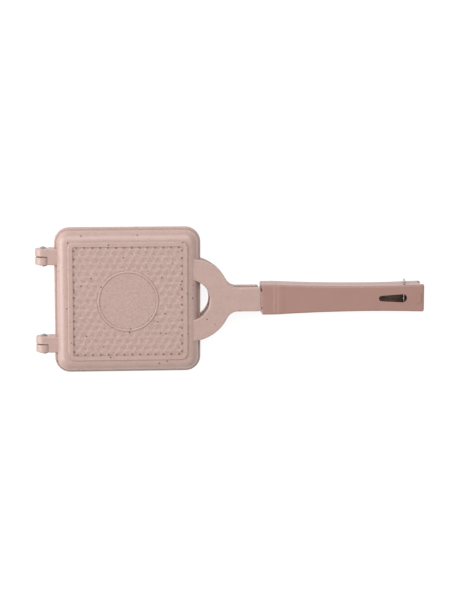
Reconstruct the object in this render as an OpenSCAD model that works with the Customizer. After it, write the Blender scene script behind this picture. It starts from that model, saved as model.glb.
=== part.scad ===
// Pie iron: a square two-plate stove-top toaster.
// Two cast halves meet at the parting plane, turn on two pinned hinges and end in
// moulded grips, which a bent spring wire holds together.
// +X points to the grips, +Y to the back hinge and +Z up. The origin is the middle of
// the flat band under the lower half, on which the iron stands.

/* [Pan halves] */
// Side of the square rim
pan_side = 145; // [132:1:165]
// Corner radius of the rim
pan_corner = 15; // [13:0.5:24]
// Depth of one half, from the parting plane to the foot band
half_depth = 16; // [16:0.5:20]
// Width of the flat lip outside the wall
lip_width = 2.5; // [1.5:0.1:3.5]
// Thickness of the lip
lip_thick = 3.2; // [2:0.1:4]
// Radius of the rounded shoulder between wall and base
shoulder_r = 9.2; // [7:0.1:9.4]
// Thickness of the cast wall and floor
wall = 3.4; // [2.6:0.1:4.4]
// Gap between the two closed rims
rim_gap = 0.3; // [0.2:0.05:0.6]
// Rounding of the cast edges
cast_edge = 1; // [0.4:0.1:1.1]

/* [Base] */
// Height of the foot band above the base
band_rise = 1.5; // [1:0.1:2]
// Width of the foot band
band_width = 4.8; // [3:0.1:8]
// Flat ledge between the shoulder and the foot band
band_inset = 1.5; // [1:0.1:3]
// Corner radius of the foot band
band_corner = 7; // [4:0.5:10]
// Depth of the recess inside the foot band
recess_depth = 1.4; // [0.8:0.1:1.4]
// Corner radius of the recess
recess_corner = 2; // [1:0.5:4]
// Outer radius of the round bead in the recess
bead_r = 30.6; // [20:0.1:40]
// Width of the bead
bead_width = 2.8; // [2:0.1:4]
// Height of the bead above the recess floor
bead_height = 0.6; // [0.3:0.1:0.8]

/* [Hinges] */
// Distance between the middles of the two hinges
hinge_spacing = 87.6; // [60:0.1:100]
// Distance from the rim out to the pin axis
hinge_out = 10.7; // [10.2:0.1:16]
// Width of a hinge arm, along the pin
arm_width = 16.2; // [12:0.1:20]
// Radius of a knuckle, level with the top of its arm
knuckle_r = 8.2; // [6:0.1:8.4]
// Gap between the two knuckles of a hinge
knuckle_gap = 0.8; // [0.3:0.05:1]
// Gap round a knuckle in the other half's arm
pocket_gap = 1; // [0.4:0.05:1.2]
// Diameter of a hinge pin
pin_d = 4.4; // [3:0.1:6]
// Radial clearance of a pin in its knuckles
pin_fit = 0.05; // [0.02:0.01:0.08]
// Diameter of a pin's domed head
pin_head_d = 7.4; // [6.2:0.1:9]
// Height of a pin's domed head
pin_head_h = 2.0; // [1.2:0.1:2.6]
// Length of the riveted tip past its washer
pin_tip = 0.6; // [0.6:0.1:2]
// Diameter of a rivet washer
rivet_washer_d = 7.6; // [6.4:0.1:10]
// Thickness of a rivet washer
rivet_washer_h = 1.2; // [0.5:0.1:1.6]

/* [Fork and tang] */
// Outer radius of the fork that joins pan and tang
fork_outer_r = 41.5; // [34:0.5:48]
// Radius of the round hole in the fork
fork_inner_r = 20; // [16:0.5:26]
// Distance from the rim in to the middle of the fork's round
fork_inset = 11; // [9:0.5:12]
// Radius where the fork runs into the tang
fork_fillet = 12; // [6:0.5:20]
// Width of the tang
tang_width = 23.6; // [20:0.2:28]
// Distance from the rim to the tang's end
tang_reach = 59.1; // [54:0.1:80]
// Height of the fork's outer face above the parting plane
fork_face = 13.6; // [11:0.1:14]
// Thickness of the fork and tang
fork_thick = 7; // [5:0.1:8]
// Rounding of the fork's edges
fork_edge = 1.2; // [0.6:0.1:2]
// Radius that blends the fork into the pan's shoulder
blend_r = 4; // [3:0.5:10]
// Width of the neck inside the grip
neck_width = 15; // [11:0.5:16]
// Length of the neck past the tang's end
neck_len = 28; // [22:0.5:34]
// Thickness of the neck
neck_thick = 5.4; // [4:0.1:6]

/* [Grips] */
// Length of a grip
grip_len = 163.5; // [152:0.5:190]
// Gap between the tang's end and the grip's mouth
mouth_gap = 2; // [0.5:0.1:4]
// Gap between the closed grips
grip_gap = 0.4; // [0.3:0.05:1]
// Half width of a grip at its mouth
mouth_half = 15.2; // [14:0.1:18]
// Half width at the waist
waist_half = 12.75; // [12:0.05:14]
// Half width at the hanging end
end_half = 13.9; // [12.8:0.1:16]
// Length of the straight ferrule at the mouth
ferrule_len = 12; // [6:0.5:16]
// Distance from mouth to waist
waist_pos = 106; // [90:1:120]
// Height of the outer face at the mouth, above the parting plane
mouth_rise = 14.4; // [13.8:0.1:15]
// Height of each of the two steps behind the ferrule
step_rise = 0.45; // [0.2:0.05:0.5]
// Fall of the outer face behind the second step
crest_fall = 0.3; // [0.1:0.05:0.6]
// Height of the outer face at the waist
waist_rise = 14.9; // [14:0.1:15.4]
// Height of the outer face at the hanging end
end_rise = 15; // [14:0.1:15]
// Rounding of the outer edges
grip_edge = 1.6; // [0.8:0.1:2.4]
// Rounding of the hanging end, seen from the side
end_round = 2.6; // [2:0.1:3.2]
// Length of the finger lip that the outer face makes past the end wall
finger_lip = 3.6; // [2:0.1:5]
// Thickness of the finger lip
lip_depth = 4; // [3.6:0.1:6]
// Wall of the cored grip
grip_wall = 2.6; // [2:0.1:3.2]
// Thickness of the ribs in the core
rib_thick = 1.8; // [1.2:0.1:3]
// Number of ribs in the core
rib_count = 3; // [1:1:5]
// Gap round the neck in its socket
socket_gap = 0.15; // [0.1:0.05:0.4]
// Gap beside the neck in the open mouth
mouth_side_gap = 3; // [1:0.1:3.4]
// Depth of the open mouth
mouth_depth = 6; // [3:0.5:10]

/* [Grip screws] */
// Diameter of the grip screw
screw_d = 4; // [3:0.5:5]
// Diameter of the screw's head
screw_head_d = 7.4; // [6.4:0.1:8]
// Height of the screw's head
screw_head_h = 2.2; // [1.6:0.1:2.4]
// How far the head lies below the grip's flat face
screw_sink = 0.4; // [0.2:0.1:0.8]
// Thickness of the screw's washer
screw_washer_h = 0.7; // [0.5:0.1:1]
// Distance from the grip's mouth to the screw
screw_pos = 16; // [12:0.5:22]
// Radial clearance round screw and washer
screw_fit = 0.05; // [0.03:0.01:0.1]
// Radial clearance round the head in its counterbore
head_gap = 0.6; // [0.3:0.1:1]

/* [Hanging slot and nub] */
// Distance from the slot to the hanging end
slot_back = 17.6; // [15:0.1:22]
// Length of the slot
slot_len = 28.6; // [22:0.1:30]
// End radius of the slot towards the pan
slot_near_r = 2.8; // [2.4:0.1:4]
// End radius of the slot towards the hanging end
slot_far_r = 4.2; // [3:0.1:5]
// Width of the raised nub, across the grip
nub_width = 10; // [6:0.5:14]
// Length of the nub, along the grip
nub_len = 3.7; // [2:0.1:5]
// Height of the nub above the outer face
nub_rise = 0.8; // [0.3:0.1:0.9]
// Distance from the nub to the hanging end
nub_back = 4; // [3.5:0.1:8]

/* [Latch clip] */
// Diameter of the clip's spring wire
wire_d = 2.2; // [1.6:0.1:3]
// Distance from the clip's pivot to the hanging end
latch_back = 19.8; // [17:0.1:25]
// Height of the pivot above the parting plane
latch_rise = 9; // [7:0.1:9.6]
// Length of the leg below the pivot
leg_len = 23.4; // [14:0.2:24]
// Lean of the leg towards the hanging end, in degrees
leg_lean = 10; // [0:1:20]
// Radial clearance of the wire in the upper grip
wire_fit = 0.06; // [0.03:0.01:0.09]
// Gap between the grip's side and the wire's bend
bend_gap = 0.3; // [0.2:0.05:0.6]
// How far the pivot's end lies inside the grip's far side
pivot_inset = 1; // [0.6:0.1:1.6]

/* [Hidden] */
$fn = 48;

eps = 0.01;
coating = [0.765, 0.647, 0.616];
plastic = [0.682, 0.533, 0.498];
steel = [0.78, 0.78, 0.76];

// Pan: half widths of the rim, the wall and the shoulder's centre line
rim_half = pan_side / 2;
wall_half = rim_half - lip_width;
shoulder_x = wall_half - shoulder_r;
base_z = half_depth - band_rise;
shoulder_z = base_z - shoulder_r;
corner_x = rim_half - pan_corner;
floor_z = base_z - wall;
band_half = shoulder_x - band_inset;
recess_half = band_half - band_width;
recess_z = half_depth - recess_depth;

// Hinges
pin_x = -(rim_half + hinge_out);
pin_r = pin_d / 2;
pin_bore_r = pin_r + pin_fit;
knuckle_len = (arm_width - knuckle_gap) / 2;
pocket_r = knuckle_r + pocket_gap;
hinge_ys = [-hinge_spacing / 2, hinge_spacing / 2];

// Fork: a round with a hole, two webs hollowed by fillets, and the tang
fork_x = rim_half - fork_inset;
fork_root_x = shoulder_x + 2;
fork_inner_z = fork_face - fork_thick;
tang_half = tang_width / 2;
tang_end = rim_half + tang_reach;
tang_corner = 1.5;
fillet_y = tang_half + fork_fillet;
fillet_x = fork_x + sqrt(pow(fork_outer_r + fork_fillet, 2) - pow(fillet_y, 2));
blend_rise = fork_face + blend_r - shoulder_z;
blend_x = shoulder_x + sqrt(pow(shoulder_r + blend_r, 2) - pow(blend_rise, 2));
blend_top = shoulder_z + blend_rise * shoulder_r / (shoulder_r + blend_r) - 0.1;
neck_z = fork_inner_z + (fork_thick - neck_thick) / 2;

// Grips
mouth_x = tang_end + mouth_gap;
grip_z = grip_gap / 2;
step_len = 2;
first_step = ferrule_len - 1.4;
second_step = first_step + 4;
crest_pos = second_step + 3.5;
crest_end = crest_pos + 6;
end_corner = 1.8;
mouth_edge = 0.8;
core_start = neck_len - mouth_gap + 4;
core_end = grip_len - finger_lip - grip_wall;
screw_x = mouth_x + screw_pos;
screw_head_z = grip_z + screw_sink;
washer_z = screw_head_z + screw_head_h;
washer_seat_z = washer_z + screw_washer_h;
screw_tip_z = neck_z + neck_thick - 0.6;
slot_pos = grip_len - slot_back - slot_len;
slot_near_x = slot_pos + slot_near_r;
slot_far_x = slot_pos + slot_len - slot_far_r;

// Latch
wire_r = wire_d / 2;
bend_r = wire_r + 0.2;
latch_pos = grip_len - latch_back;
latch_x = mouth_x + latch_pos;
leg_y = grip_half(latch_pos + leg_len * sin(leg_lean)) + bend_gap + bend_r;
pivot_end = grip_half(latch_pos) - pivot_inset;

// Half width of a grip at a distance s from its mouth
function grip_half(s) =
    s < ferrule_len ? mouth_half
    : s < waist_pos
        ? waist_half + (mouth_half - waist_half)
            * pow((waist_pos - s) / (waist_pos - ferrule_len), 2)
        : waist_half + (end_half - waist_half)
            * pow((s - waist_pos) / (grip_len - waist_pos), 2);

// A smooth rise from 0 to 1 between a and b
function ease(s, a, b) =
    s <= a ? 0 : s >= b ? 1 : (1 - cos(180 * (s - a) / (b - a))) / 2;

// Height of a grip's outer face at a distance s from its mouth
crest_rise = mouth_rise + 2 * step_rise - crest_fall;
function grip_rise(s) =
    s < crest_end
        ? mouth_rise
            + step_rise * ease(s, first_step, first_step + step_len)
            + step_rise * ease(s, second_step, second_step + step_len)
            - crest_fall * ease(s, crest_pos, crest_end)
        : s < waist_pos
            ? crest_rise + (waist_rise - crest_rise) * ease(s, crest_end, waist_pos)
            : waist_rise + (end_rise - waist_rise) * ease(s, waist_pos, grip_len - end_round);

// How much a round of radius r takes off at a distance d from the edge it meets
function round_off(r, d) = d >= r ? 0 : r - sqrt(r * r - pow(r - d, 2));

// Points of an arc, from angle a to angle b in n steps
function arc(c, r, a, b, n) =
    [for (i = [0 : n]) c + r * [cos(a + (b - a) * i / n), sin(a + (b - a) * i / n)]];

// A side of an outline mirrored across the X axis, and in the other order
function flipped(side) = [for (p = side) [p[0], -p[1]]];
function backwards(side) = [for (i = [len(side) - 1 : -1 : 0]) side[i]];

// A solid through closed, convex rings of points, all with as many points
module loft(rings) {
    count = len(rings[0]);
    last = len(rings) - 1;
    sides = [
        for (k = [0 : last - 1], i = [0 : count - 1])
            let (j = (i + 1) % count)
                [k * count + i, (k + 1) * count + i, (k + 1) * count + j, k * count + j]
    ];
    start = [[for (i = [0 : count - 1]) i]];
    end = [[for (i = [count - 1 : -1 : 0]) last * count + i]];
    polyhedron([for (ring = rings, p = ring) p], concat(start, sides, end));
}

// A rectangle whose corners are rounded with radius r
module soft_rect(x0, y0, x1, y1, r) {
    translate([x0 + r, y0])
        square([x1 - x0 - 2 * r, y1 - y0]);
    translate([x0, y0 + r])
        square([x1 - x0, y1 - y0 - 2 * r]);
    for (x = [x0 + r, x1 - r], y = [y0 + r, y1 - r])
        translate([x, y])
            circle(r);
}

// Sweeps a section round a square; the section's x is measured from the corner's centre
module square_sweep(half, corner) {
    reach = half - corner;
    for (turn = [0 : 90 : 270])
        rotate(turn)
            translate([reach, reach, 0]) {
                rotate_extrude(angle = 90)
                    children();
                rotate([90, 0, 0])
                    linear_extrude(2 * reach)
                        children();
            }
}

// A block over the middle of a swept square
module square_core(half, z0, z1) {
    translate([-half, -half, z0])
        cube([2 * half, 2 * half, z1 - z0]);
}

// Wall with its rounded shoulder, cut back by a wall thickness for the cavity
module shoulder_section(inset, z0) {
    x = shoulder_x - corner_x;
    r = shoulder_r - inset;
    translate([0, z0])
        square([x + r, shoulder_z - z0]);
    translate([0, z0])
        square([x, shoulder_z + r - z0]);
    intersection() {
        translate([x, shoulder_z])
            circle(r);
        square([x + r, shoulder_z + r]);
    }
}

module pan_shell() {
    square_sweep(rim_half, pan_corner) {
        shoulder_section(0, rim_gap / 2);
    }
    square_sweep(rim_half, pan_corner) {
        intersection() {
            soft_rect(-pan_corner, rim_gap / 2, pan_corner, lip_thick, cast_edge);
            square([pan_corner, lip_thick]);
        }
    }
    square_core(corner_x, rim_gap / 2, base_z);
}

module pan_cavity() {
    square_sweep(rim_half, pan_corner)
        shoulder_section(wall, -1);
    square_core(corner_x, -1, floor_z);
}

module foot_band() {
    reach = band_half - band_corner;
    difference() {
        union() {
            square_sweep(band_half, band_corner)
                intersection() {
                    soft_rect(-band_corner, base_z - 2, band_corner, half_depth, cast_edge);
                    translate([0, base_z - 1])
                        square([band_corner, half_depth]);
                }
            square_core(reach, base_z - 1, half_depth);
        }
        square_sweep(recess_half, recess_corner)
            translate([0, recess_z])
                square([recess_corner, half_depth]);
        square_core(recess_half - recess_corner, recess_z, 2 * half_depth);
    }
}

module emblem_bead() {
    half_chord = bead_width / 2;
    r = (pow(half_chord, 2) + pow(bead_height, 2)) / (2 * bead_height);
    rotate_extrude()
        translate([bead_r - half_chord, recess_z + bead_height - r])
            intersection() {
                circle(r);
                translate([-half_chord, r - bead_height - 0.1])
                    square([bead_width, bead_height + 0.2]);
            }
}

// Removes a round of radius r through the fork and rounds the edges that it leaves
module edged_hole(r) {
    rotate_extrude()
        difference() {
            translate([0, fork_inner_z - 1])
                square([r + fork_edge, fork_thick + 2]);
            soft_rect(r, fork_inner_z, r + 4 * fork_edge, fork_face, fork_edge);
        }
}

// Webs between the round and the tang, hollowed to the fillet radius
module fork_webs() {
    difference() {
        translate([0, 0, fork_inner_z])
            linear_extrude(fork_thick)
                polygon([[fork_x, 0], [fillet_x, -fillet_y], [fillet_x, fillet_y]]);
        for (y = [-fillet_y, fillet_y])
            translate([fillet_x, y, 0])
                edged_hole(fork_fillet);
    }
}

module tang() {
    intersection() {
        translate([fork_x, 0, 0])
            rotate([90, 0, 90])
                linear_extrude(tang_end - fork_x)
                    soft_rect(-tang_half, fork_inner_z, tang_half, fork_face, fork_edge);
        linear_extrude(half_depth)
            soft_rect(0, -tang_half, tang_end, tang_half, tang_corner);
    }
}

module fork() {
    difference() {
        union() {
            translate([fork_x, 0, 0])
                rotate_extrude()
                    intersection() {
                        soft_rect(-fork_outer_r, fork_inner_z, fork_outer_r, fork_face,
                            fork_edge);
                        translate([0, fork_inner_z])
                            square([fork_outer_r, fork_thick]);
                    }
            fork_webs();
            tang();
        }
        translate([fork_x, 0, 0])
            edged_hole(fork_inner_r);
    }
}

// Concave strip that carries the fork's face up to the pan's shoulder
module fork_blend() {
    reach = fork_outer_r - fork_edge;
    intersection() {
        translate([0, 0, fork_face - 1])
            linear_extrude(blend_r)
                difference() {
                    translate([fork_x, 0])
                        circle(reach);
                    translate([fork_x, 0])
                        circle(fork_inner_r + fork_edge);
                }
        rotate([90, 0, 0])
            linear_extrude(2 * reach, center = true)
                difference() {
                    translate([fork_root_x, fork_face - 1])
                        square([blend_x - fork_root_x, blend_top - fork_face + 1]);
                    translate([blend_x, fork_face + blend_r])
                        circle(blend_r);
                }
    }
}

module neck() {
    translate([tang_end - 3, -neck_width / 2, neck_z])
        cube([neck_len + 3, neck_width, neck_thick]);
}

module hinge_arm(y) {
    translate([pin_x, y, 0])
        rotate([90, 0, 90])
            linear_extrude(-pin_x - wall_half + 1)
                intersection() {
                    soft_rect(-arm_width / 2, -knuckle_r, arm_width / 2, knuckle_r, cast_edge);
                    translate([-arm_width / 2, rim_gap / 2])
                        square([arm_width, knuckle_r]);
                }
}

// Knuckle of one half; side is 1 where it is the one towards +Y
module knuckle(y, side) {
    translate([pin_x, y + side * (knuckle_gap / 2 + knuckle_len / 2), 0])
        rotate([90, 0, 0])
            rotate_extrude()
                intersection() {
                    soft_rect(-knuckle_r, -knuckle_len / 2, knuckle_r, knuckle_len / 2,
                        cast_edge);
                    translate([0, -knuckle_len / 2])
                        square([knuckle_r, knuckle_len]);
                }
}

module knuckle_pocket(y, side) {
    start = side > 0 ? -arm_width / 2 - 1 : -knuckle_gap / 2;
    translate([pin_x, y + start, 0])
        rotate([-90, 0, 0])
            cylinder(r = pocket_r, h = knuckle_len + knuckle_gap + 1);
}

// One cast half, drawn with its parting plane at z = 0 and its base upwards
module pan_half(side) {
    difference() {
        union() {
            difference() {
                union() {
                    pan_shell();
                    for (y = hinge_ys)
                        hinge_arm(y);
                }
                for (y = hinge_ys)
                    knuckle_pocket(y, side);
            }
            foot_band();
            emblem_bead();
            for (y = hinge_ys)
                knuckle(y, side);
            fork();
            fork_blend();
            neck();
        }
        pan_cavity();
        for (y = hinge_ys)
            translate([pin_x, y - arm_width, 0])
                rotate([-90, 0, 0])
                    cylinder(r = pin_bore_r, h = 2 * arm_width);
        translate([screw_x, 0, 0])
            cylinder(r = screw_d / 2 + screw_fit, h = half_depth);
    }
}

// Puts a part drawn on the parting plane into the upper or the lower half
module upper_half() {
    translate([0, 0, half_depth])
        children();
}

module lower_half() {
    translate([0, 0, half_depth])
        mirror([0, 0, 1])
            children();
}

// Pin with a domed head towards +Y and a riveted tip towards -Y
module hinge_pin(y) {
    head_y = arm_width / 2;
    dome_r = (pow(pin_head_d / 2, 2) + pow(pin_head_h, 2)) / (2 * pin_head_h);
    tip_y = -arm_width / 2 - rivet_washer_h - pin_tip;
    color(steel)
        translate([pin_x, y, half_depth])
            rotate([-90, 0, 0])
                rotate_extrude() {
                    translate([0, tip_y])
                        square([pin_r, head_y - tip_y + eps]);
                    intersection() {
                        translate([0, head_y + pin_head_h - dome_r])
                            circle(dome_r);
                        translate([0, head_y])
                            square([pin_head_d / 2, pin_head_h]);
                    }
                }
}

module hinge_washer(y) {
    color(steel)
        translate([pin_x, y - arm_width / 2 - rivet_washer_h, half_depth])
            rotate([-90, 0, 0])
                difference() {
                    cylinder(d = rivet_washer_d, h = rivet_washer_h);
                    translate([0, 0, -1])
                        cylinder(r = pin_bore_r, h = rivet_washer_h + 2);
                }
}

// Section of a grip, drawn in by take at its mouth and end rounds
function grip_ring(s, side_take, face_take) =
    let (
        w = grip_half(s) - side_take,
        t = grip_rise(s) - face_take,
        r = grip_edge,
        q = mouth_edge,
        section = concat(
            arc([w - r, t - r], r, 0, 90, 4),
            arc([r - w, t - r], r, 90, 180, 4),
            arc([q - w, grip_z + q], q, 180, 270, 2),
            arc([w - q, grip_z + q], q, 270, 360, 2)
        )
    )
        [for (p = section) [mouth_x + s, p[0], p[1]]];

grip_stations = concat(
    [for (i = [0 : 2]) mouth_edge * (1 - cos(45 * i))],
    [for (s = [first_step : step_len / 4 : crest_pos]) s],
    [for (i = [1 : 4]) crest_pos + (crest_end - crest_pos) * i / 4],
    [for (i = [1 : 9]) crest_end + (waist_pos - crest_end) * i / 9],
    [for (i = [1 : 6]) waist_pos + (grip_len - end_round - waist_pos) * i / 6],
    [for (i = [1 : 6]) grip_len - end_round * (1 - sin(15 * i))]
);

module grip_skin() {
    loft([for (s = grip_stations)
        grip_ring(s,
            round_off(mouth_edge, s) + round_off(end_corner, grip_len - s),
            round_off(mouth_edge, s) + round_off(end_round, grip_len - s))]);
}

// Room inside a grip that is cored out from its flat face
module grip_core() {
    stations = [for (i = [0 : 16]) core_start + (core_end - core_start) * i / 16];
    outline = [for (s = stations) [mouth_x + s, grip_half(s) - grip_wall]];
    profile = [for (s = stations)
        [mouth_x + s, grip_rise(s) - grip_wall - round_off(end_round, grip_len - s)]];
    intersection() {
        linear_extrude(half_depth)
            polygon(concat(outline, backwards(flipped(outline))));
        translate([0, mouth_half, 0])
            rotate([90, 0, 0])
                linear_extrude(2 * mouth_half)
                    polygon(concat(profile,
                        [[mouth_x + core_end, 0], [mouth_x + core_start, 0]]));
    }
}

module grip_ribs() {
    spacing = (slot_pos - core_start) / (rib_count + 1);
    for (i = [1 : rib_count])
        translate([mouth_x + core_start + i * spacing - rib_thick / 2, -mouth_half, 2])
            cube([rib_thick, 2 * mouth_half, half_depth]);
}

module neck_socket() {
    half = neck_width / 2 + socket_gap;
    mouth = neck_width / 2 + mouth_side_gap;
    end = mouth_x + neck_len - mouth_gap + socket_gap;
    side = [[mouth_x - 1, mouth], [mouth_x + mouth_depth, mouth],
        [mouth_x + mouth_depth, half], [end, half]];
    translate([0, 0, neck_z - socket_gap])
        linear_extrude(neck_thick + 2 * socket_gap)
            polygon(concat(side, backwards(flipped(side))));
}

module screw_hole() {
    translate([screw_x, 0, -1]) {
        cylinder(r = screw_d / 2 + screw_fit, h = neck_z + 1 + eps);
        cylinder(r = screw_head_d / 2 + head_gap, h = washer_seat_z + 1);
    }
}

// Slot through the outer face, wider towards the hanging end
module hanging_slot() {
    run = slot_far_x - slot_near_x;
    flare = asin((slot_far_r - slot_near_r) / run);
    edge = [-sin(flare), cos(flare)];
    near = [slot_near_x, 0] + slot_near_r * edge;
    far = [slot_far_x, 0] + slot_far_r * edge;
    side = [near, far];
    translate([mouth_x, 0, 0])
        linear_extrude(half_depth + 1) {
            translate([slot_near_x, 0])
                circle(slot_near_r);
            translate([slot_far_x, 0])
                circle(slot_far_r);
            polygon(concat(side, backwards(flipped(side))));
        }
}

module nub() {
    x = grip_len - nub_back - nub_len;
    top = grip_rise(x) + nub_rise;
    translate([mouth_x + x, 0, top - 2])
        linear_extrude(2)
            soft_rect(0, -nub_width / 2, nub_len, nub_width / 2, 1);
}

// Room under the finger lip, beyond the end wall
module lip_undercut() {
    translate([mouth_x + grip_len - finger_lip, -mouth_half, -1])
        cube([finger_lip + 1, 2 * mouth_half, end_rise - lip_depth + 1]);
}

// A moulded grip, drawn with its flat face on the parting plane
module grip_half_body() {
    difference() {
        union() {
            difference() {
                grip_skin();
                lip_undercut();
                difference() {
                    grip_core();
                    grip_ribs();
                }
            }
            nub();
        }
        neck_socket();
        screw_hole();
        hanging_slot();
    }
}

// Bore for the clip's pivot: open towards +Y, and it ends just past the pivot's end
module wire_bore() {
    start = pivot_end + wire_fit;
    translate([latch_x, -start, latch_rise])
        rotate([-90, 0, 0])
            cylinder(r = wire_r + wire_fit, h = start + mouth_half);
}

// Pan-head screw that enters from the flat face; its cross recess is in the head
module grip_screw() {
    slot = 1.1;
    color(steel)
        translate([screw_x, 0, screw_head_z])
            difference() {
                union() {
                    cylinder(d1 = screw_head_d - 1, d2 = screw_head_d, h = screw_head_h / 3);
                    translate([0, 0, screw_head_h / 3])
                        cylinder(d = screw_head_d, h = screw_head_h * 2 / 3);
                    translate([0, 0, screw_head_h - eps])
                        cylinder(d = screw_d, h = screw_tip_z - screw_head_z - screw_head_h);
                }
                for (turn = [0, 90])
                    rotate(turn)
                        translate([-screw_head_d / 4, -slot / 2, -eps])
                            cube([screw_head_d / 2, slot, screw_head_h / 2]);
            }
}

module screw_washer() {
    color(steel)
        translate([screw_x, 0, washer_z])
            difference() {
                cylinder(d = screw_head_d, h = screw_washer_h);
                translate([0, 0, -1])
                    cylinder(r = screw_d / 2 + screw_fit, h = screw_washer_h + 2);
            }
}

// The latch wire, with its pivot on the Y axis: the pivot, a bend and a leg
module bent_wire() {
    bend_y = leg_y - bend_r;
    rotate([-90, 0, 0])
        cylinder(r = wire_r, h = bend_y);
    mirror([0, 1, 0])
        rotate([-90, 0, 0])
            cylinder(r = wire_r, h = pivot_end);
    translate([0, bend_y, -bend_r])
        rotate([0, -90, 0])
            rotate_extrude(angle = 90)
                translate([bend_r, 0])
                    circle(wire_r);
    translate([0, leg_y, 0])
        rotate_extrude() {
            translate([0, -leg_len])
                square([wire_r, leg_len - bend_r]);
            intersection() {
                translate([0, -leg_len])
                    circle(wire_r);
                translate([0, -leg_len - wire_r])
                    square([wire_r, wire_r]);
            }
        }
}

module lower_pan() {
    color(coating)
        lower_half()
            pan_half(-1);
}

module upper_pan() {
    color(coating)
        upper_half()
            pan_half(1);
}

module hinge_pin_back() {
    hinge_pin(hinge_ys[1]);
}

module hinge_pin_front() {
    hinge_pin(hinge_ys[0]);
}

module hinge_washer_back() {
    hinge_washer(hinge_ys[1]);
}

module hinge_washer_front() {
    hinge_washer(hinge_ys[0]);
}

module lower_grip() {
    color(plastic)
        lower_half()
            grip_half_body();
}

module upper_grip() {
    color(plastic)
        upper_half()
            difference() {
                grip_half_body();
                wire_bore();
            }
}

module lower_grip_screw() {
    lower_half()
        grip_screw();
}

module upper_grip_screw() {
    upper_half()
        grip_screw();
}

module lower_screw_washer() {
    lower_half()
        screw_washer();
}

module upper_screw_washer() {
    upper_half()
        screw_washer();
}

// Wire bent square: it turns in the upper grip, and its leg hugs the lower grip's side
module latch_clip() {
    color(steel)
        translate([latch_x, 0, half_depth + latch_rise])
            rotate([0, -leg_lean, 0])
                bent_wire();
}

lower_pan();
upper_pan();
hinge_pin_back();
hinge_pin_front();
hinge_washer_back();
hinge_washer_front();
lower_grip();
upper_grip();
lower_grip_screw();
upper_grip_screw();
lower_screw_washer();
upper_screw_washer();
latch_clip();
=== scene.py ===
import math

import bpy
from mathutils import Matrix, Vector


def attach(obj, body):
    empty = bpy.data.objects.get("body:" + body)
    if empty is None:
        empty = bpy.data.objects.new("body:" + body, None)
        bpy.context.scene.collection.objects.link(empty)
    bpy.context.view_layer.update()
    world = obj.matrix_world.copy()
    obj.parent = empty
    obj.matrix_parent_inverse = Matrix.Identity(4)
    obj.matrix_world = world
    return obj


# A speckled, coated pie iron lying closed on a white table, seen from above.
# The iron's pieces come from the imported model. This script gives them their finishes
# and adds the dimpled plates that the cast bases have inside their foot bands.

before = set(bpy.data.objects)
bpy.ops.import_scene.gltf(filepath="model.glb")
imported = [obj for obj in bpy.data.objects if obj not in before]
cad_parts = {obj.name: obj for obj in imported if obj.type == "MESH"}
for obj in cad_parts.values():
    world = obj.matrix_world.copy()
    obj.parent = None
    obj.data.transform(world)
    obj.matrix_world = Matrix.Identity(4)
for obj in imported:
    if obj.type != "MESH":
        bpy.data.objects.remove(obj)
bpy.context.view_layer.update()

MM = 0.001

# Sizes of the cast base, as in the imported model
HALF_DEPTH = 16.0 * MM
RECESS_HALF = 54.5 * MM
RECESS_DEPTH = 1.4 * MM
BEAD_R = 30.6 * MM
BEAD_WIDTH = 2.8 * MM

# The dimpled plate: how high it stands on the recess's floor, and its gap to the recess's wall
PLATE_RISE = 0.6 * MM
PLATE_GAP = 0.02 * MM

# The dimples lie in rows along X, each row half a pitch off its neighbours
DIMPLE_PITCH = 7.76 * MM
DIMPLE_R = 2.9 * MM
DIMPLE_DEPTH = 0.27 * MM
ROW_SPACING = DIMPLE_PITCH * math.sin(math.radians(60))
# A dimple's circle has two sides for each side of its hexagonal cell
DIMPLE_SIDES = 12
# Its flat middle, as a share of its radius, and then each ring's outer radius and rise,
# as shares of its radius and depth
DIMPLE_MIDDLE = 0.3
DIMPLE_RINGS = [(0.62, 0.12), (0.84, 0.3), (1.0, 0.4), (1.12, 0.18)]

# Round notches where the dimples run out at the wall of the recess
NOTCH_R = 1.3 * MM
NOTCH_INSET = 0.9 * MM
NOTCH_DEPTH = 0.45 * MM
NOTCH_SIDES = 12

# Groove that leaves the cast bead free: its radius, and its sides along and across
GROOVE_R = 1.75 * MM
GROOVE_SIDES_ALONG = 96
GROOVE_SIDES_ACROSS = 16

# Points nearer than this are one, in a repeated row and in the whole sheet
ROW_MERGE = 0.01 * MM
SHEET_MERGE = 0.02 * MM
# Faces that meet at less than this are shaded as one
SMOOTH_ANGLE = math.radians(40)

# Camera: its place, the point that it looks at, its turn and its lens
CAMERA_AT = Vector((-56, 276, 1816)) * MM
CAMERA_TARGET = Vector((102.0, -8.1, 16)) * MM
CAMERA_ROLL = math.radians(0.13)
CAMERA_LENS = 107.3

# Lights: place in metres, size in metres, power in watts
KEY_AT = Vector((-1.6, 0.25, 0.85))
KEY_SIZE = 1.5
KEY_POWER = 31
TOP_AT = Vector((0.05, 1.05, 2.0))
TOP_SIZE = 1.9
TOP_POWER = 29
SKY_STRENGTH = 0.52

# Floor: its side in metres and its glow
FLOOR_SIZE = 24
FLOOR_GLOW = 0.84
# Painted shade: an unlit patch of floor that only shows through the slots of the grips, so that they look
# dark inside:
# its middle, its half sizes and the share of them over which its edge fades
PATCH_AT = Vector((262, -4, 0)) * MM
PATCH_SIZE = Vector((24, 9, 1000)) * MM
PATCH_FADE = 0.1


def linear(hex_colour):
    """An sRGB hex colour as the linear RGBA that the shaders take."""
    parts = [int(hex_colour[i:i + 2], 16) / 255 for i in (1, 3, 5)]
    return [p / 12.92 if p <= 0.04045 else ((p + 0.055) / 1.055) ** 2.4 for p in parts] + [1]


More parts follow.
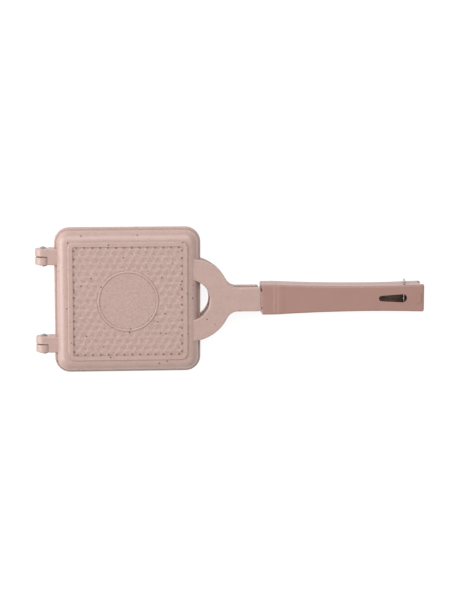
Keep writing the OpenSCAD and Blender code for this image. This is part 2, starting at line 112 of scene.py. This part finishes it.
def add_node(tree, kind, settings=None, **sockets):
    """Adds a node. settings are its properties, and sockets are values or links for its inputs,
    by name or, after an underscore, by number."""
    node = tree.nodes.new(kind)
    for name, value in (settings or {}).items():
        setattr(node, name, value)
    for name, value in sockets.items():
        socket = node.inputs[int(name[1:])] if name[0] == "_" else node.inputs[name.replace("_", " ")]
        if isinstance(value, bpy.types.NodeSocket):
            tree.links.new(value, socket)
        else:
            socket.default_value = value
    return node


def new_material(name):
    """A material with nothing in it but the object's own coordinates."""
    material = bpy.data.materials.new(name)
    material.use_nodes = True
    tree = material.node_tree
    tree.nodes.clear()
    coordinates = add_node(tree, "ShaderNodeTexCoord").outputs["Object"]
    return material, tree, coordinates


def finish_material(tree, **sockets):
    """Closes a material with the surface that these values give."""
    shader = add_node(tree, "ShaderNodeBsdfPrincipled", None, **sockets)
    add_node(tree, "ShaderNodeOutputMaterial", None, Surface=shader.outputs["BSDF"])


def speck_mask(tree, coordinates, spacing, radius, share):
    """1 inside specks of a radius, on a share of points that lie about a spacing apart."""
    # A speck is full to this share of its radius and fades from there
    solid_share = 0.6
    points = add_node(
        tree, "ShaderNodeTexVoronoi", {"feature": "F1"},
        Vector=coordinates, Scale=1 / spacing, Randomness=1.0
    )
    chosen = add_node(
        tree, "ShaderNodeMath", {"operation": "LESS_THAN"}, _0=points.outputs["Color"], _1=share
    )
    near = add_node(
        tree, "ShaderNodeMapRange", None, _0=points.outputs["Distance"],
        _1=radius / spacing, _2=solid_share * radius / spacing, _3=0.0, _4=1.0
    )
    return add_node(
        tree, "ShaderNodeMath", {"operation": "MULTIPLY"}, _0=chosen.outputs[0], _1=near.outputs[0]
    ).outputs[0]


def notch_shade_mask(tree, coordinates, share):
    """Painted shade: a share at the floor of the notches, which is as far from the parting plane in both
    halves, fading to 0 half way up them."""
    notch_floor = HALF_DEPTH - RECESS_DEPTH + PLATE_RISE - NOTCH_DEPTH
    place = add_node(tree, "ShaderNodeSeparateXYZ", None, Vector=coordinates)
    above = add_node(
        tree, "ShaderNodeMath", {"operation": "SUBTRACT"}, _0=place.outputs["Z"], _1=HALF_DEPTH
    )
    height = add_node(tree, "ShaderNodeMath", {"operation": "ABSOLUTE"}, _0=above.outputs[0])
    return add_node(
        tree, "ShaderNodeMapRange", None, _0=height.outputs[0],
        _1=notch_floor, _2=notch_floor + 0.5 * NOTCH_DEPTH, _3=share, _4=0.0
    ).outputs[0]


def coated_aluminium(name, mottle_share, notch_shade_share, roughness):
    """Stone-look non-stick coating sprayed on die-cast aluminium: satin, with dark specks in it.
    The coat gathers in the dimples, so a dimpled face is more mottled than a smooth one.
    The bottom of the notches is painted darker, as painted shade."""
    cloud_size = 9 * MM
    # Blotches: their size, and the noise where they begin and are full
    blotch_size, blotch_from, blotch_to = 2.4 * MM, 0.38, 0.66
    # The specks are drawn as coarse as they need to show from the camera
    fleck_spacing, fleck_r, fleck_share = 2.6 * MM, 0.6 * MM, 0.5
    speck_spacing, speck_r, speck_share = 7 * MM, 0.95 * MM, 0.5
    peel_size, peel_height, peel_strength = 0.9 * MM, 0.05 * MM, 0.25

    material, tree, coordinates = new_material(name)
    cloud = add_node(
        tree, "ShaderNodeTexNoise", None,
        Vector=coordinates, Scale=1 / cloud_size, Detail=3.0, Roughness=0.6
    )
    base = add_node(
        tree, "ShaderNodeMix", {"data_type": "RGBA"},
        _0=cloud.outputs["Fac"], _6=linear("#AA8F87"), _7=linear("#B69A91")
    )
    # Blotches of the gathered coat
    blotches = add_node(
        tree, "ShaderNodeTexNoise", None, Vector=coordinates, Scale=1 / blotch_size, Detail=2.0
    )
    gathered = add_node(
        tree, "ShaderNodeMapRange", None, _0=blotches.outputs["Fac"],
        _1=blotch_from, _2=blotch_to, _3=0.0, _4=mottle_share
    )
    mottled = add_node(
        tree, "ShaderNodeMix", {"data_type": "RGBA"},
        _0=gathered.outputs[0], _6=base.outputs[2], _7=linear("#8E7068")
    )
    # Fine flecks of the middle coat
    flecked = add_node(
        tree, "ShaderNodeMix", {"data_type": "RGBA"},
        _0=speck_mask(tree, coordinates, fleck_spacing, fleck_r, fleck_share),
        _6=mottled.outputs[2], _7=linear("#9A7C74")
    )
    # Bold dark specks of the top coat
    specked = add_node(
        tree, "ShaderNodeMix", {"data_type": "RGBA"},
        _0=speck_mask(tree, coordinates, speck_spacing, speck_r, speck_share),
        _6=flecked.outputs[2], _7=linear("#4E3C38")
    )
    # Painted shade: the bottom of the notches is painted darker
    notch_shaded = add_node(
        tree, "ShaderNodeMix", {"data_type": "RGBA"},
        _0=notch_shade_mask(tree, coordinates, notch_shade_share), _6=specked.outputs[2], _7=linear("#6B5049")
    )
    # Orange peel of the sprayed coat
    peel = add_node(tree, "ShaderNodeTexNoise", None, Vector=coordinates, Scale=1 / peel_size, Detail=2.0)
    bump = add_node(
        tree, "ShaderNodeBump", None,
        Height=peel.outputs["Fac"], Strength=peel_strength, Distance=peel_height
    )
    finish_material(
        tree, Base_Color=notch_shaded.outputs[2], Roughness=roughness, IOR=1.6, Normal=bump.outputs["Normal"]
    )
    return material


def moulded_phenolic():
    """Compression-moulded phenolic plastic: an even, silky skin with a very fine grain."""
    cloud_size = 14 * MM
    grain_size, grain_height, grain_strength = 0.5 * MM, 0.03 * MM, 0.2

    material, tree, coordinates = new_material("moulded_phenolic")
    cloud = add_node(
        tree, "ShaderNodeTexNoise", None, Vector=coordinates, Scale=1 / cloud_size, Detail=2.0
    )
    tone = add_node(
        tree, "ShaderNodeMix", {"data_type": "RGBA"},
        _0=cloud.outputs["Fac"], _6=linear("#99756B"), _7=linear("#9F7A70")
    )
    grain = add_node(tree, "ShaderNodeTexNoise", None, Vector=coordinates, Scale=1 / grain_size, Detail=2.0)
    bump = add_node(
        tree, "ShaderNodeBump", None,
        Height=grain.outputs["Fac"], Strength=grain_strength, Distance=grain_height
    )
    finish_material(
        tree, Base_Color=tone.outputs[2], Roughness=0.32, IOR=1.55, Normal=bump.outputs["Normal"]
    )
    return material


def bright_steel(name, colour, roughness):
    """Drawn or headed steel: metal with fine scratches that spread its highlights."""
    # Scratches: their size, and the noise at the two ends of the roughness
    scratch_size, scratch_from, scratch_to = 0.4 * MM, 0.3, 0.7
    roughness_spread = 0.06

    material, tree, coordinates = new_material(name)
    scratches = add_node(
        tree, "ShaderNodeTexNoise", None, Vector=coordinates, Scale=1 / scratch_size, Detail=3.0
    )
    rough = add_node(
        tree, "ShaderNodeMapRange", None, _0=scratches.outputs["Fac"],
        _1=scratch_from, _2=scratch_to,
        _3=roughness - roughness_spread, _4=roughness + roughness_spread
    )
    finish_material(
        tree, Base_Color=linear(colour), Metallic=1.0, Roughness=rough.outputs[0]
    )
    return material


def lit_white_paper():
    """White paper lit from below, with an unlit patch under the slots as painted shade, where its glow is
    hidden.
    """
    material, tree, coordinates = new_material("lit_white_paper")
    placed = add_node(
        tree, "ShaderNodeMapping", {"vector_type": "TEXTURE"},
        Vector=coordinates, Location=PATCH_AT, Scale=PATCH_SIZE
    )
    reach = add_node(tree, "ShaderNodeVectorMath", {"operation": "LENGTH"}, _0=placed.outputs[0])
    lit = add_node(
        tree, "ShaderNodeMapRange", None, _0=reach.outputs["Value"], _1=1 - PATCH_FADE, _2=1 + PATCH_FADE
    )
    glow = add_node(
        tree, "ShaderNodeMath", {"operation": "MULTIPLY"}, _0=lit.outputs[0], _1=FLOOR_GLOW
    )
    # Painted shade: the unlit patch takes its own tone, which is what shows inside the slots
    tone = add_node(
        tree, "ShaderNodeMix", {"data_type": "RGBA"},
        _0=lit.outputs[0], _6=linear("#B9B3A6"), _7=linear("#898988")
    )
    finish_material(
        tree, Base_Color=tone.outputs[2], Roughness=0.9,
        Emission_Color=linear("#FFFFFF"), Emission_Strength=glow.outputs[0]
    )
    return material


def deselect():
    if bpy.context.object and bpy.context.object.mode == "EDIT":
        bpy.ops.object.mode_set(mode="OBJECT")
    bpy.ops.object.select_all(action="DESELECT")


def select_points(obj, wanted):
    """In edit mode, selects the vertices whose place is wanted."""
    bpy.ops.mesh.select_mode(type="VERT")
    bpy.ops.mesh.select_all(action="DESELECT")
    bpy.ops.object.mode_set(mode="OBJECT")
    for vertex in obj.data.vertices:
        vertex.select = wanted(vertex.co)
    bpy.ops.object.mode_set(mode="EDIT")


def repeat(obj, count, offset):
    """Repeats a mesh along an offset and joins the copies."""
    array = obj.modifiers.new("repeat", "ARRAY")
    array.count = count
    array.use_relative_offset = False
    array.use_constant_offset = True
    array.constant_offset_displace = offset
    array.use_merge_vertices = True
    array.merge_threshold = ROW_MERGE
    bpy.ops.object.modifier_apply(modifier=array.name)


def cut_away(obj, cutter):
    """Takes a cutter's shape out of a mesh, and removes the cutter."""
    deselect()
    bpy.context.view_layer.objects.active = obj
    boolean = obj.modifiers.new("cut", "BOOLEAN")
    boolean.operation = "DIFFERENCE"
    boolean.solver = "EXACT"
    boolean.object = cutter
    bpy.ops.object.modifier_apply(modifier=boolean.name)
    bpy.data.objects.remove(cutter)


def dimple_cell(top):
    """One hexagonal cell of the pattern, with its dimple in the middle."""
    corner_r = DIMPLE_PITCH / math.sqrt(3)
    deselect()
    bpy.ops.mesh.primitive_circle_add(
        vertices=DIMPLE_SIDES, radius=DIMPLE_MIDDLE * DIMPLE_R, fill_type="NGON",
        location=(0, 0, top - DIMPLE_DEPTH)
    )
    cell = bpy.context.object
    bpy.ops.object.transform_apply()
    bpy.ops.object.mode_set(mode="EDIT")
    inner = DIMPLE_MIDDLE
    for outer, rise in DIMPLE_RINGS:
        bpy.ops.mesh.select_mode(type="EDGE")
        bpy.ops.mesh.extrude_edges_move(TRANSFORM_OT_translate={"value": (0, 0, rise * DIMPLE_DEPTH)})
        bpy.ops.transform.resize(value=(outer / inner, outer / inner, 1), center_override=(0, 0, 0))
        inner = outer
    # The flat round the dimple, out to the cell's corners
    flat_share = corner_r / (inner * DIMPLE_R)
    bpy.ops.mesh.extrude_edges_move()
    bpy.ops.transform.resize(value=(flat_share, flat_share, 1), center_override=(0, 0, 0))
    # The rim's corners point along Y, and the points between them come in to the flats
    rim_r = 0.98 * corner_r
    flat_angles = [math.radians(60 * k) for k in range(6)]
    near = math.cos(math.radians(8))
    select_points(cell, lambda p: math.hypot(p.x, p.y) > rim_r and any(
        math.cos(math.atan2(p.y, p.x) - angle) > near for angle in flat_angles))
    flat = math.cos(math.radians(30))
    bpy.ops.transform.resize(value=(flat, flat, 1), center_override=(0, 0, 0))
    bpy.ops.object.mode_set(mode="OBJECT")
    return cell


def dimple_sheet(top):
    """A sheet of dimples that is wider than the recess on every side."""
    columns = 2 * math.ceil(RECESS_HALF / DIMPLE_PITCH) + 2
    row_pairs = math.ceil(RECESS_HALF / ROW_SPACING) + 1
    sheet = dimple_cell(top)
    # A second cell, half a pitch on in the next row, makes the pair that is repeated
    bpy.ops.object.mode_set(mode="EDIT")
    bpy.ops.mesh.select_all(action="SELECT")
    bpy.ops.mesh.duplicate_move(TRANSFORM_OT_translate={"value": (DIMPLE_PITCH / 2, ROW_SPACING, 0)})
    bpy.ops.mesh.select_all(action="SELECT")
    bpy.ops.transform.translate(
        value=(-columns / 2 * DIMPLE_PITCH, -row_pairs * ROW_SPACING, 0))
    bpy.ops.object.mode_set(mode="OBJECT")
    repeat(sheet, columns + 1, (DIMPLE_PITCH, 0, 0))
    repeat(sheet, row_pairs + 1, (0, 2 * ROW_SPACING, 0))
    # The cells become one sheet, so that only its outer edge is open
    bpy.ops.object.mode_set(mode="EDIT")
    bpy.ops.mesh.select_all(action="SELECT")
    bpy.ops.mesh.remove_doubles(threshold=SHEET_MERGE)
    bpy.ops.object.mode_set(mode="OBJECT")
    return sheet


def border_notches(z):
    """A row of short round posts along each side of the recess, which cut the notches."""
    count = math.floor(2 * (RECESS_HALF - 2 * NOTCH_R) / DIMPLE_PITCH)
    deselect()
    bpy.ops.mesh.primitive_cylinder_add(
        vertices=NOTCH_SIDES, radius=NOTCH_R, depth=2 * NOTCH_DEPTH,
        location=(-count / 2 * DIMPLE_PITCH, RECESS_HALF - NOTCH_INSET, z)
    )
    posts = bpy.context.object
    bpy.ops.object.transform_apply()
    repeat(posts, count + 1, (DIMPLE_PITCH, 0, 0))
    bpy.ops.object.mode_set(mode="EDIT")
    # A row turned by a quarter makes two, and both turned by a half make four
    for turn in (math.pi / 2, math.pi):
        bpy.ops.mesh.select_all(action="SELECT")
        bpy.ops.mesh.duplicate()
        bpy.ops.transform.rotate(value=turn, orient_axis="Z", center_override=(0, 0, z))
    bpy.ops.object.mode_set(mode="OBJECT")
    return posts


def bead_groove(z):
    """A ring as wide as the groove round the cast bead."""
    deselect()
    bpy.ops.mesh.primitive_torus_add(
        major_radius=BEAD_R - BEAD_WIDTH / 2, minor_radius=GROOVE_R,
        major_segments=GROOVE_SIDES_ALONG, minor_segments=GROOVE_SIDES_ACROSS, location=(0, 0, z)
    )
    ring = bpy.context.object
    bpy.ops.object.transform_apply()
    return ring


def dimpled_plate(name):
    """The dimpled floor inside the upper foot band, smooth inside its round bead."""
    top = 2 * HALF_DEPTH - RECESS_DEPTH + PLATE_RISE
    bottom = top - PLATE_RISE
    plate = dimple_sheet(top)
    plate.name = name
    bpy.ops.object.mode_set(mode="EDIT")
    # Trimmed to the recess
    for turn in range(4):
        direction = Vector((math.cos(turn * math.pi / 2), math.sin(turn * math.pi / 2), 0))
        bpy.ops.mesh.select_all(action="SELECT")
        bpy.ops.mesh.bisect(
            plane_co=direction * (RECESS_HALF - PLATE_GAP), plane_no=direction, clear_outer=True
        )
    # Bare and flat inside the bead
    select_points(plate, lambda p: math.hypot(p.x, p.y) < BEAD_R - BEAD_WIDTH / 2)
    bpy.ops.transform.resize(value=(1, 1, 0), center_override=(0, 0, top))
    # Skirt down to the cast floor, and the underside
    bpy.ops.mesh.select_all(action="DESELECT")
    bpy.ops.mesh.select_mode(type="EDGE")
    bpy.ops.mesh.select_non_manifold()
    bpy.ops.mesh.extrude_edges_move()
    bpy.ops.transform.resize(value=(1, 1, 0), center_override=(0, 0, bottom))
    bpy.ops.mesh.edge_face_add()
    bpy.ops.mesh.select_all(action="SELECT")
    bpy.ops.mesh.normals_make_consistent(inside=False)
    bpy.ops.object.mode_set(mode="OBJECT")
    cut_away(plate, border_notches(top))
    cut_away(plate, bead_groove(bottom))
    deselect()
    plate.select_set(True)
    bpy.context.view_layer.objects.active = plate
    bpy.ops.object.shade_smooth_by_angle(angle=SMOOTH_ANGLE)
    return plate


def turned_over(plate, name):
    """A copy of the upper plate, turned over about X into the lower half."""
    deselect()
    plate.select_set(True)
    bpy.context.view_layer.objects.active = plate
    bpy.ops.object.duplicate()
    copy = bpy.context.object
    copy.name = name
    bpy.ops.object.mode_set(mode="EDIT")
    bpy.ops.mesh.select_all(action="SELECT")
    bpy.ops.transform.rotate(value=math.pi, orient_axis="X", center_override=(0, 0, HALF_DEPTH))
    bpy.ops.object.mode_set(mode="OBJECT")
    return copy


def dress(obj, material):
    """Gives a piece one finish all over."""
    obj.data.materials.clear()
    obj.data.materials.append(material)


def area_light(name, place, size, power):
    """A soft box that faces the iron."""
    light = bpy.data.lights.new(name, "AREA")
    light.shape = "SQUARE"
    light.size = size
    light.energy = power
    box = bpy.data.objects.new(name, light)
    box.location = place
    box.rotation_euler = (CAMERA_TARGET - place).to_track_quat("-Z", "Y").to_euler()
    bpy.context.scene.collection.objects.link(box)


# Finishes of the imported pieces. The first word that a node's name holds gives its finish,
# so the screws and their washers come before the grips.
finishes = {
    "screw": bright_steel("zinc_plated_steel", "#B5B4AF", 0.42),
    "hinge": bright_steel("riveted_steel", "#9F9D9F", 0.36),
    "latch": bright_steel("spring_wire", "#868380", 0.26),
    "grip": moulded_phenolic(),
    "pan": coated_aluminium("stone_look_coating", 0.12, 0.0, 0.34),
}
for node_name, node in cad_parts.items():
    dress(node, next(finish for word, finish in finishes.items() if word in node_name))

# Dimpled plates of the two bases
# The plates' coating carries painted shade at the bottom of its notches
mottled_coating = coated_aluminium("mottled_coating", 0.36, 0.6, 0.46)
upper_plate = dimpled_plate("upper_base_dimples")
lower_plate = turned_over(upper_plate, "lower_base_dimples")
for plate, body in ((upper_plate, "upper_half"), (lower_plate, "lower_half")):
    dress(plate, mottled_coating)
    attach(plate, body)

# Floor
deselect()
bpy.ops.mesh.primitive_plane_add(size=FLOOR_SIZE, location=(0, 0, 0))
floor = bpy.context.object
floor.name = "table"
dress(floor, lit_white_paper())

# Lights
area_light("key_box", KEY_AT, KEY_SIZE, KEY_POWER)
area_light("top_box", TOP_AT, TOP_SIZE, TOP_POWER)
world = bpy.data.worlds.new("studio")
world.use_nodes = True
world.node_tree.nodes["Background"].inputs["Color"].default_value = (1, 1, 1, 1)
world.node_tree.nodes["Background"].inputs["Strength"].default_value = SKY_STRENGTH
bpy.context.scene.world = world
bpy.context.scene.view_settings.view_transform = "Standard"

# Camera
lens = bpy.data.cameras.new("camera")
lens.lens = CAMERA_LENS
camera = bpy.data.objects.new("camera", lens)
backwards = (CAMERA_AT - CAMERA_TARGET).normalized()
right = Vector((0, 1, 0)).cross(backwards).normalized()
up = backwards.cross(right)
facing = Matrix((right, up, backwards)).transposed().to_4x4()
camera.matrix_world = Matrix.Translation(CAMERA_AT) @ facing @ Matrix.Rotation(CAMERA_ROLL, 4, "Z")
bpy.context.scene.collection.objects.link(camera)
bpy.context.scene.camera = camera
